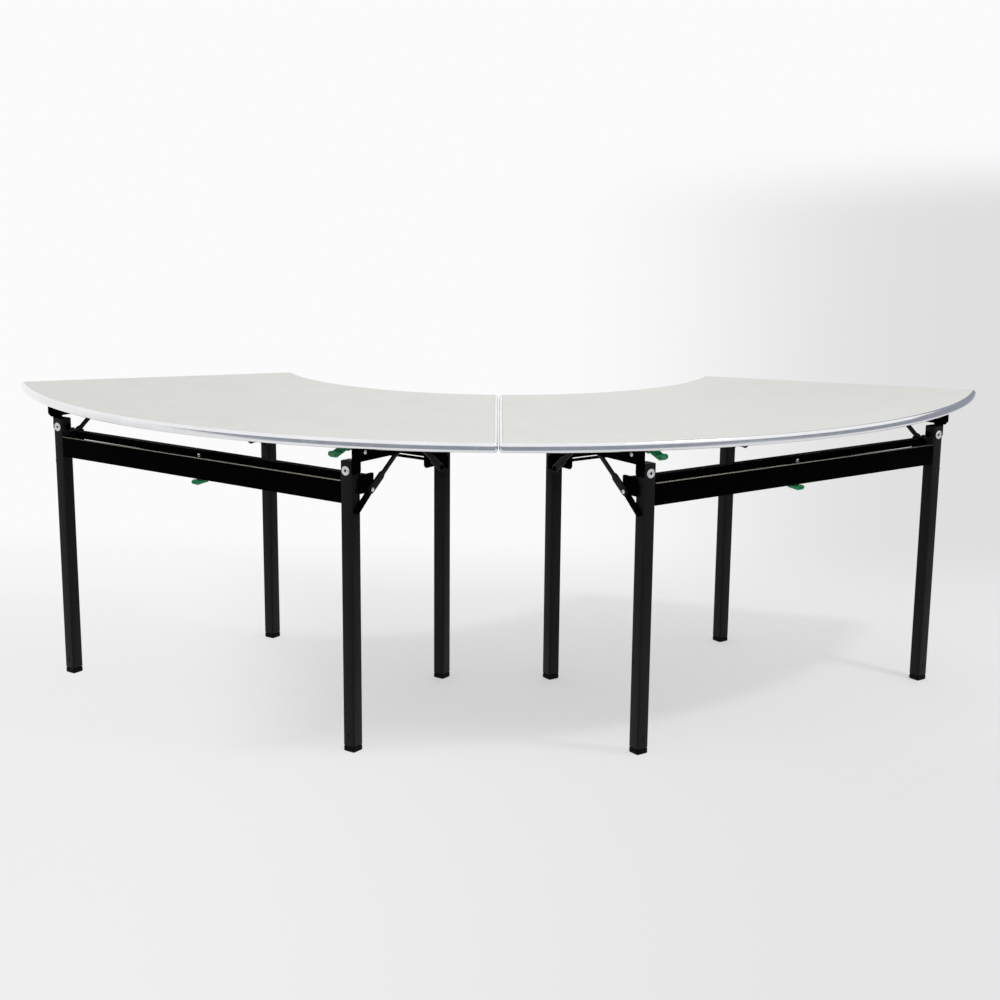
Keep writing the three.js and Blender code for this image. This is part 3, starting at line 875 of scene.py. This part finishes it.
@dataclass(frozen=True)
class Lever:
    """Sizes of a lever's arm and hub."""

    thickness: float = 0.009
    tip: float = 0.0045  # length of the round tip
    swell: float = 0.022  # length over which the arm thickens to the tip
    rib: float = 0.0004  # height of the ribs under the tip
    pitch: float = 0.0035  # distance from rib to rib
    ribbed: Pair = (0.003, 0.02)  # where the ribs start and stop, from the tip
    narrowing: float = 0.06  # share of its width that the tip's end loses
    corner: float = 0.55  # radius of the section's corners, in shares of its half width
    hub: float = 0.008  # radius of the hub
    chamfer: Pair = (0.0012, 0.001)  # how much the hub's ends are drawn in, and over what length
    steps: int = 64


@dataclass(frozen=True)
class LegFrame:
    """One leg frame of a table: legs, feet, beam, bolts, braces, shaft and lever.

    Its methods give points in the row frame. A hand is one of its legs, -1 or 1 along its chord.
    """

    top: TableTop
    rim: Rim
    brace: Brace = Brace()
    lever: Lever = Lever()
    leg_size: float = 0.032
    leg_corner: float = 0.004
    leg_above: float = 0.022  # how far a leg rises above the hinge line
    leg_break: float = 0.0012  # how much its end edges are broken
    foot_height: float = 0.014
    beam_thickness: float = 0.008
    beam_corner: float = 0.0018
    beam_break: float = 0.0006
    gap: float = 0.0003  # between pieces that touch
    pivot_inset: float = 0.004  # setback of the pivot bolt
    bolt_head: Pair = (0.008, 0.003)  # radius and height of its heads
    shank: float = 0.004  # radius of its shank
    tongue_far: float = 0.0193  # outboard face of the hinge tongue, from the leg's centre
    hinge_far: float = 0.0355  # outboard face of the hinge bracket, from the leg's centre
    flange_low: float = 0.0033  # underside of the bracket's flange, below the board's underside
    flange_screws: Triple = (0.034, 0.092, 0.150)  # setbacks of the screws in the flange
    flange_line: float = 0.004  # how far outboard of the leg's centre they are
    cheek_screw: Pair = (0.009, 0.0115)  # setback of the cheek's screw, and how far below the flange it is
    screw_radii: Pair = (0.0048, 0.005)  # in the flange and in the cheek
    rivet_gap: float = 0.0014  # from the brace's outboard face to the rivet's base
    shaft_setback: float = 0.030
    shaft_radius: float = 0.004
    shaft_past: float = 0.024  # how far the shaft passes the legs' centres
    shaft_chamfer: Pair = (0.0008, 0.0008)
    rail_pin: Pair = (0.020, -0.0255)  # setback and height of the pin in the release rail
    pin_offset: float = 0.012  # that pin's way along the chord from the middle to the end
    lip: Triple = (0.002, 0.0062, 0.0006)  # thickness, depth at the seam and corner of the rail's lip
    lip_place: Pair = (0.0212, -0.0297)  # setback and height of its upper edge
    lip_least: float = 0.15  # share of its depth that is left at the end
    lip_clear: float = 0.0055  # from its ends to the legs
    lip_break: float = 0.0004
    edge: Triple = (0.0068, 0.0012, 0.0004)  # width, height and corner of the beam's painted highlight strip
    edge_clear: float = 0.0008
    edge_break: float = 0.0003
    catch: Triple = (0.0038, 0.0135, 0.0019)  # width, height and corner of a foot cap's catch
    catch_height: float = 0.038  # above the floor
    catch_span: Pair = (-0.0005, 0.0003)  # from inside the leg's face to outside it
    catch_break: float = 0.0003

    @property
    def sizes(self) -> FrameSizes:
        """The sizes of this rim's frame."""
        return FRAME_SIZES[self.rim]

    @property
    def name(self) -> str:
        """The frame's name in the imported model, without what follows."""
        return f"{self.top.name}_{self.rim.name.lower()}"

    @property
    def face(self) -> float:
        """Setback of the legs' outer face."""
        return -self.leg_size / 2

    @property
    def to_seam(self) -> int:
        """Direction of the seam along the frame's chord."""
        return self.top.side.value * self.rim.value

    @property
    def span(self) -> float:
        """Half the clear width between the legs."""
        return self.sizes.spread / 2 - self.leg_size / 2

    @property
    def shaft_line(self) -> Array:
        """The middle of the release shaft."""
        return np.array([0, self.shaft_setback, -self.sizes.shaft_drop])

    def to_row(self, points: Array) -> Array:
        """Turns points as (chord, setback, height from the hinge line) into the row frame.

        Args:
            points: any array whose last axis is chord, setback, height.

        Returns:
            An array of the same shape.
        """
        x, setback, height = np.moveaxis(points, -1, 0)
        chord = self.top.side.value * self.sizes.stagger + self.rim.value * x
        radial = -self.sizes.line + self.rim.value * setback
        return self.top.to_row(np.stack([chord, radial, height + self.sizes.pivot], axis=-1))

    def leg_x(self, hand: int) -> float:
        """Where a leg's centre is along the chord."""
        return hand * self.sizes.spread / 2

    def across(self, form: Array, hand: int, setback: float, height: float, start: float = 0.0) -> Array:
        """Sets a form made along its first axis so that this axis runs outboard from a leg's centre."""
        x = self.leg_x(hand) + hand * (start + form[..., 0])
        return self.to_row(np.stack([x, setback + form[..., 1], height + form[..., 2]], axis=-1))

    def upright(self, form: Array, hand: int, base: float = 0.0) -> Array:
        """Sets a form made along its first axis so that this axis runs up a leg's middle from a base."""
        x = form[..., 1] + self.leg_x(hand)
        return self.to_row(np.stack([x, form[..., 2], form[..., 0] + base], axis=-1))

    def set_front(self, form: Array, x: float, setback: float, height: float = 0.0) -> Array:
        """Sets a form so that its first axis points out of the legs' outer face."""
        out, across, up = np.moveaxis(form, -1, 0)
        return self.to_row(np.stack([across + x, setback - out, up + height], axis=-1))

    def along_beam(self, outline: Array, clear: float, edge: float, height: float) -> Array:
        """Carries an outline along the cross beam, between the legs, at a height."""
        form = bar(outline, clear - self.span, self.span - clear, edge)
        return self.to_row(form + np.array([0, self.face + self.beam_thickness / 2, height]))

    def build_leg(self, hand: int) -> Array:
        """A leg: a rounded square carried up from the foot to a cap with broken edges.

        Args:
            hand: which leg it is.

        Returns:
            The leg.
        """
        outline = rounded_box(self.leg_size, self.leg_size, self.leg_corner)
        form = bar(outline, self.foot_height - self.sizes.pivot, self.leg_above, self.leg_break)
        return self.upright(form, hand)

    def build_foot(self, hand: int) -> Array:
        """A foot cap: a rounded square with a broken sole and a shallow waist where it meets the leg."""
        outline = rounded_box(self.leg_size, self.leg_size, self.leg_corner)
        return self.upright(stacked(outline, FOOT_LEVELS, FOOT_INSETS), hand, -self.sizes.pivot)

    def build_foot_catch(self, hand: int) -> Array:
        """The foot cap's catch in a slot low on the leg's outer face: a short upright bar with round ends."""
        form = bar(rounded_box(*self.catch, 8), *self.catch_span, self.catch_break)
        return self.set_front(form, self.leg_x(hand), self.face, self.catch_height - self.sizes.pivot)

    def build_beam(self) -> Array:
        """The cross beam: a flat bar with softly broken edges between the two legs.

        Returns:
            The beam.
        """
        depth, drop = self.sizes.beam_depth, self.sizes.beam_drop
        outline = rounded_box(self.beam_thickness, depth, self.beam_corner, 4)
        return self.along_beam(outline, self.gap, self.beam_break, depth / 2 - drop)

    def build_beam_edge(self) -> Array:
        """A painted highlight on the cross beam's upper edge: a thin bright flat bar along its top."""
        level = self.sizes.beam_depth - self.sizes.beam_drop
        return self.along_beam(rounded_box(*self.edge, 3), self.edge_clear, self.edge_break, level)

    def build_rail_lip(self) -> Array:
        """The lip under the release rail's front face: a thin bar, deeper in a straight line to the seam.

        Returns:
            The lip.
        """
        reach = self.span - self.lip_clear
        form = bar(rounded_box(*self.lip, 3), -reach, reach, self.lip_break)
        way = (1 + self.to_seam * form[..., 0] / reach) / 2
        form[..., 2] = (form[..., 2] - self.lip[1] / 2) * (self.lip_least + (1 - self.lip_least) * way)
        return self.to_row(form + np.array([0, *self.lip_place]))

    def build_rail_pin(self) -> Array:
        """A pale pin in the front face of the release rail, near the middle: a low turned dome."""
        return self.set_front(turned(RAIL_PIN, 24), -self.to_seam * self.pin_offset, *self.rail_pin)

    def build_ring(self, hand: int, profile: Sequence[Pair], steps: int) -> Array:
        """A turned part of the bolt in a leg's outer face: its domed washer ring, or the flat dark disc of
        painted shade in its hole.
        """
        return self.set_front(turned(profile, steps), self.leg_x(hand), self.face)

    def build_pivot_bolt(self, hand: int) -> Array:
        """A pivot bolt: a turned shank with a domed head at either end.

        Args:
            hand: which leg it is at.

        Returns:
            The bolt.
        """
        far, near = self.tongue_far + self.gap, self.face - self.gap
        heads = np.array(BOLT_HEAD) * self.bolt_head
        shank = [(self.shank, near), (self.shank, far)]
        profile = np.concatenate([heads[::-1] * (1, -1) + (0, near), shank, heads + (0, far)])
        return self.across(turned(profile), hand, self.pivot_inset, 0.0)

    def build_brace(self, hand: int) -> list[Array]:
        """A brace: a rounded flat section carried along its rings, thinner at the ends, and a turned pin.

        Args:
            hand: which leg it is at.

        Returns:
            The link and the pin.
        """
        brace = self.brace
        way, half = brace.rings()
        section = rounded_box(2.0, 2.0, brace.corner, 5)
        thick = brace.thickness / 2 * np.minimum(1, brace.end_share + half / brace.thinning)
        wide = half[:, None] * section[None, :, 0]
        outboard = thick[:, None] * section[None, :, 1] + brace.near + brace.thickness / 2
        setback = brace.stud[0] + way[:, None] * cos(brace.angle) - wide * sin(brace.angle)
        height = brace.stud[1] + way[:, None] * sin(brace.angle) + wide * cos(brace.angle)
        link = self.to_row(np.stack([self.leg_x(hand) + hand * outboard, setback, height], axis=-1))
        return [link, self.across(turned(BRACE_PIN), hand, *brace.pin, self.hinge_far)]

    def build_rivet(self, hand: int) -> Array:
        """A rivet head on the brace's stud: a low turned dome."""
        base = self.brace.near + self.brace.thickness + self.rivet_gap
        return self.across(turned(RIVET, 24), hand, *self.brace.stud, base)

    def build_shaft(self) -> Array:
        """The release shaft: a turned rod that runs through the cheeks of the release rail."""
        reach = self.sizes.spread / 2 + self.shaft_past
        return self.to_row(rod(self.shaft_radius, reach, self.shaft_chamfer, 20) + self.shaft_line)

    def build_lever(self) -> list[Array]:
        """The lever: a rounded box section carried along a bent path, ribbed under its tip, and a turned hub.

        Returns:
            The arm and the hub.
        """
        lever, width = self.lever, self.sizes.lever_width
        path = smoothed(np.array(self.sizes.lever), 4)
        way = way_along(path)
        lengths = np.linspace(0, way[-1], lever.steps)
        spots = np.stack([np.interp(lengths, way, path[:, axis]) for axis in (0, 1)], axis=-1)
        along = np.gradient(spots, axis=0)
        along /= np.linalg.norm(along, axis=-1, keepdims=True)
        normal = np.stack([-along[:, 1], along[:, 0]], axis=-1)
        left = way[-1] - lengths
        tip = np.sqrt(np.clip(1 - ((lever.tip - left) / lever.tip).clip(0) ** 2, 0.0, 1))
        swell = soft_step(np.clip(1 - left / lever.swell, 0, 1))
        thick = (lever.thickness + (self.sizes.knob - lever.thickness) * swell) * tip
        ribbed = (left > lever.ribbed[0]) * (left < lever.ribbed[1])
        ribs = lever.rib * np.sin(2 * pi * left / lever.pitch) * ribbed
        wide = width * (1 - lever.narrowing + lever.narrowing * tip)
        flat, upright = rounded_box(2.0, 2.0, lever.corner).T[:, None]
        x = flat * wide[:, None] / 2
        rise = upright * thick[:, None] / 2 + np.where(upright > 0, 0, ribs[:, None])
        arm = np.concatenate([x[..., None], spots[:, None] + normal[:, None] * rise[..., None]], axis=-1)
        ends = np.repeat(arm[[0, -1]].mean(axis=1, keepdims=True), arm.shape[1], axis=1)
        hub = rod(lever.hub, width / 2, lever.chamfer, 28) + self.shaft_line
        shift = np.array([self.to_seam * self.sizes.lever_offset, 0, 0])
        return [self.to_row(form + shift) for form in (np.concatenate([ends[:1], arm, ends[1:]]), hub)]

    def build_screw(self, place: Triple, axis: int, sign: int, radius: float) -> Array:
        """A pan-head screw: a low turned dome with a sunk middle.

        Args:
            place: chord, setback and height.
            axis: which of these axes the head points along.
            sign: which way it points.
            radius: radius of the head.

        Returns:
            The head.
        """
        form = np.roll(turned(SCREW, 24) * radius, axis, axis=-1)
        form[..., axis] *= sign
        return self.to_row(form + np.array(place))

    def build_bracket_screws(self, hand: int) -> list[Array]:
        """Screws of a hinge bracket: three up into the board and one in the face of its cheek.

        Args:
            hand: which leg the bracket is at.

        Returns:
            The screws.
        """
        line, face = (self.leg_x(hand) + hand * out for out in (self.flange_line, self.hinge_far))
        under = self.top.underside - self.flange_low - self.sizes.pivot
        setback, drop = self.cheek_screw
        small, large = self.screw_radii
        screws = [self.build_screw((line, back, under), 2, -1, small) for back in self.flange_screws]
        return [*screws, self.build_screw((face, setback, under - drop), 0, hand, large)]

    def build(self, wardrobe: Wardrobe) -> None:
        """Builds and dresses every piece of the frame.

        Args:
            wardrobe: gives the pieces their finishes.
        """
        steel, plastic, zinc = "black_steel", "black_plastic", "zinc"
        body, braces, lever = (f"{self.name}_{part}" for part in ("frame", "braces", "lever"))
        is_outer = self.rim is Rim.OUTER

        def put(
            name: str, forms: list[Array], slot: str, body: str, *nodes: str, finish: str | None = None,
        ) -> None:
            """Makes and dresses one piece; its name and its nodes' follow the frame's name."""
            piece = make_piece(f"{self.name}_{name}", [Grid(points, loop_columns=True) for points in forms])
            wardrobe.dress(piece, slot, body, *(f"{self.name}_{node}" for node in nodes), finish=finish)

        for hand in HANDS:
            end = "seam" if hand == self.to_seam else "end"
            put(f"tube_{end}", [self.build_leg(hand)], steel, body, f"leg_{end}", finish="leg_steel")
            put(f"cap_{end}", [self.build_foot(hand)], plastic, body, f"foot_{end}")
            put(f"bolt_{end}", [self.build_pivot_bolt(hand)], steel, body, f"pivot_bolt_{end}")
            put(f"link_{end}", self.build_brace(hand), steel, braces, f"brace_{end}", finish="leg_steel")
            # Painted shade: the inner frames' rivets are black steel, where the outer frames' are zinc
            put(f"rivet_{end}", [self.build_rivet(hand)], zinc if is_outer else steel, body)
            put(f"bracket_screws_{end}", self.build_bracket_screws(hand), zinc, "table_tops")
            put(f"foot_catch_{end}", [self.build_foot_catch(hand)], plastic, body)
            if is_outer:
                put(f"ring_bolt_{end}", [self.build_ring(hand, RING_BOLT, 40)], zinc, body)
                put(f"ring_middle_{end}", [self.build_ring(hand, RING_HOLE_SHADE, 24)], plastic, body)
        if is_outer:
            put("rail_pin", [self.build_rail_pin()], zinc, body)
            put("rail_lip", [self.build_rail_lip()], steel, body)
            # A painted highlight along the top of the outer beams
            put("beam_edge", [self.build_beam_edge()], zinc, body, finish="edge_steel")
        put("beam", [self.build_beam()], steel, body, "cross_beam")
        put("rod", [self.build_shaft()], steel, lever, "release_shaft")
        put("handle", self.build_lever(), "green_plastic", lever, "release_lever")


# The studio


@dataclass(frozen=True)
class Studio:
    """Camera, paper sweep, sky and lamp.

    A pair of places says where a soft step starts and stops, and aside is X over the distance that fan sets.
    """

    eye: Triple = (-0.0034, -3.9368, 1.3236)
    focal_pixels: float = 1574.25
    pitch: float = radians(11.93)  # how far the camera looks down
    yaw: float = radians(0.131)  # how far it looks to the right
    roll: float = radians(0.533)
    paper: float = 0.86  # tone of the paper
    fan: float = 3.94  # distance in front of the tables from which its shades fan out to the sides
    near: Pair = (0.87, 0.78)  # painted light round the tables, brighter at the left than at the right
    near_aside: Pair = (-0.3, 0.3)
    far: Pair = (0.965, 0.738)  # painted brightness far behind them, lit and in painted shade at the right
    far_y: Pair = (-0.1, 1.8)
    shade_aside: Pair = (-0.03, 0.34)
    shade_y: Pair = (-0.9, 1.6)
    shade_z: Pair = (1.75, 0.85)
    border_y: Pair = (-3.5, -8.0)  # where it turns white at its front
    border_x: Pair = (3.2, 8.0)  # and at its sides
    painted_glow_share: Pair = (0.5, 0.9)  # painted glow: its own share of its brightness, in shadow and out
    painted_fill_left: Pair = (-0.04, -0.24)  # where painted glow covers the shadow, aside
    painted_fill_right: Pair = (0.03, 0.2)
    painted_fill_right_share: float = 0.3  # how much of the shadow painted glow covers at the right
    painted_fill_front: Pair = (-0.15, -0.7)
    room_reflection: Triple = (0.29, 0.31, 0.36)  # painted reflection of a dim room in front and to the right
    room_reflection_y: Pair = (-2.0, -2.6)
    room_reflection_x: Pair = (2.8, 4.4)
    room_reflection_slant: float = 0.5  # how much sooner it starts at the right for each metre of height
    sweep: Triple = (8.0, 2.0, 7.0)  # Y where the paper starts to rise, radius of the bend, upper edge
    sweep_steps: tuple[int, int, int] = (19, 16, 24)  # spans along its floor, in its bend and across it
    reach: float = 30.0  # half the paper's width, and how far it comes forward
    sky: float = 0.8
    white: float = 0.98  # tone of the sky as the camera sees it
    lamp: Triple = (2.3, -1.0, 4.3)
    lamp_aim: Triple = (0.3, 0.0, 0.5)
    lamp_size: float = 0.45
    lamp_power: float = 54

    def set_camera(self) -> None:
        """Sets the camera: it looks along +Y, turned by yaw and pitch, then leant by roll."""
        level = cos(self.pitch)
        ahead = Vector((sin(self.yaw) * level, cos(self.yaw) * level, -sin(self.pitch)))
        right = ahead.cross(Vector((0, 0, 1))).normalized()
        up = right.cross(ahead)
        leaned = right * cos(self.roll) + up * sin(self.roll)
        raised = up * cos(self.roll) - right * sin(self.roll)
        data = bpy.data.cameras.new("photo_camera")
        data.sensor_width = SENSOR_WIDTH
        data.lens = SENSOR_WIDTH * self.focal_pixels / IMAGE_WIDTH
        camera = bpy.data.objects.new("photo_camera", data)
        turn = Matrix((leaned, raised, -ahead)).transposed().to_4x4()
        camera.matrix_world = Matrix.Translation(self.eye) @ turn
        bpy.context.scene.collection.objects.link(camera)
        bpy.context.scene.camera = camera

    def sweep_points(self) -> Array:
        """The paper sweep: a profile of floor, quarter circle and wall, carried from left to right.

        Returns:
            Places across by points of the profile by 3.
        """
        rise, radius, top = self.sweep
        floor_steps, bend_steps, side_steps = self.sweep_steps
        turn = np.linspace(0, pi / 2, bend_steps + 1)
        bend = np.stack([rise + radius * np.sin(turn), radius * (1 - np.cos(turn))], axis=-1)
        level = np.linspace(-self.reach, rise, floor_steps + 1)[:-1]
        profile = np.concatenate([np.stack([level, 0 * level], axis=-1), bend, [[rise + radius, top]]])
        x = np.linspace(-self.reach, self.reach, side_steps + 1)
        along = np.broadcast_to(x[:, None, None], (len(x), len(profile), 1))
        return np.concatenate([along, np.broadcast_to(profile, (len(x), *profile.shape))], axis=-1)

    def lay_paper(self) -> None:
        """Lays the paper sweep, which glows for the camera: white far behind, in painted shade at the right,
        with painted light over the tables' shadow, and clear when seen from below.

        Glossy rays see a painted reflection of a dim room in front of it and to the right.
        """
        floor = make_piece("paper_sweep", [Grid(self.sweep_points())])
        sheet = Sheet("studio_paper")
        sheet.set(Base_Color=(self.paper, self.paper, self.paper, 1), Roughness=0.9, Specular_IOR_Level=0.05)
        ramp, times, most = sheet.ramp, sheet.times, sheet.most
        split = sheet.add("SeparateXYZ", {"Vector": sheet.place})
        x, y, z = (split.outputs[axis] for axis in "XYZ")
        aside = sheet.maths("DIVIDE", x, most(sheet.maths("ADD", y, self.fan), self.fan / 2))

        # Painted reflection: a dim room in front and at the right, which only glossy rays see
        slant = sheet.maths("ADD", times(z, self.room_reflection_slant), x)
        room_reflection = times(most(ramp(y, self.room_reflection_y), ramp(slant, self.room_reflection_x)), sheet.seen("Glossy"))
        start, stop = self.border_x
        sides = ramp(x, (start, stop)), ramp(x, (-start, -stop))
        fade = most(ramp(y, self.far_y), ramp(y, self.border_y), *sides)
        # Painted shade on the paper: at the right, far back and low on its wall
        shade = times(ramp(aside, self.shade_aside), ramp(y, self.shade_y), ramp(z, self.shade_z))
        tones = {"A": ramp(aside, self.near_aside, self.near), "B": ramp(shade, (0.0, 1.0), self.far)}
        tone = sheet.add("Mix", {"Factor": fade, **tones}).outputs["Result"]
        hue = sheet.add("Mix", {0: room_reflection, 6: tone, 7: (*self.room_reflection, 1)}, data_type="RGBA").outputs[2]
        glow = sheet.add("Emission", {"Color": hue}).outputs["Emission"]

        # Painted light: the paper's glow covers the tables' shadow at the left, at the front and partly at
        # the right
        right = ramp(aside, self.painted_fill_right, (0.0, self.painted_fill_right_share))
        painted_fill_floor = most(ramp(aside, self.painted_fill_left), right, ramp(y, self.painted_fill_front))
        painted_glow_share = most(ramp(painted_fill_floor, (0.0, 1.0), self.painted_glow_share), fade, room_reflection)
        lit = sheet.mixed(times(painted_glow_share, sheet.seen("Camera", "Glossy")), sheet.shader.outputs["BSDF"], glow)
        backs = sheet.add("NewGeometry", {}).outputs["Backfacing"]
        clear = sheet.add("BsdfTransparent", {}).outputs["BSDF"]
        sheet.show(sheet.mixed(times(backs, sheet.seen("Camera")), lit, clear), "Material Output")
        floor.data.materials.append(sheet.material)
        if floor.data.polygons[0].normal.z < 0:
            floor.data.flip_normals()
        floor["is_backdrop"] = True

    def light_sky(self) -> None:
        """Lights the sky softly; the camera and mirror-like surfaces see it white."""
        world = bpy.data.worlds.new("studio_sky")
        bpy.context.scene.world = world
        world.use_nodes = True
        nodes = Nodes(world.node_tree)
        soft = nodes.tree.nodes["Background"]
        soft.inputs["Color"].default_value = (1, 1, 1, 1)
        soft.inputs["Strength"].default_value = self.sky
        white = nodes.add("Background", {"Color": (self.white, self.white, self.white, 1)})
        shaders = (node.outputs["Background"] for node in (soft, white))
        nodes.show(nodes.mixed(nodes.seen("Camera", "Glossy", "Transmission"), *shaders), "World Output")

    def hang_lamp(self) -> None:
        """Hangs the square lamp that faces the tables."""
        data = bpy.data.lights.new("key_lamp", "AREA")
        data.size = self.lamp_size
        data.energy = self.lamp_power
        lamp = bpy.data.objects.new("key_lamp", data)
        lamp.location = self.lamp
        lamp.rotation_euler = (Vector(self.lamp_aim) - Vector(self.lamp)).to_track_quat("-Z", "Y").to_euler()
        bpy.context.scene.collection.objects.link(lamp)

    def build(self) -> None:
        """Builds the whole studio."""
        bpy.context.scene.view_settings.view_transform = "Standard"
        self.set_camera()
        self.lay_paper()
        self.light_sky()
        self.hang_lamp()


def corners(bounds: Sequence[Vector]) -> list[list[float]]:
    """A box as two plain lists of numbers."""
    return [[float(value) for value in corner] for corner in bounds]


def main() -> None:
    """Builds the studio, the tops and the leg frames in order."""
    logging.basicConfig(level=logging.INFO, format="%(message)s")
    before = corners(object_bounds())
    Studio().build()
    wardrobe = Wardrobe()
    wardrobe.dress_nodes()
    for side in Side:
        top = TableTop(side)
        top.build(wardrobe)
        for rim in Rim:
            LegFrame(top, rim).build(wardrobe)
    {"cad": before, "visual": corners(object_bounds())}


if __name__ == "__main__":
    main()
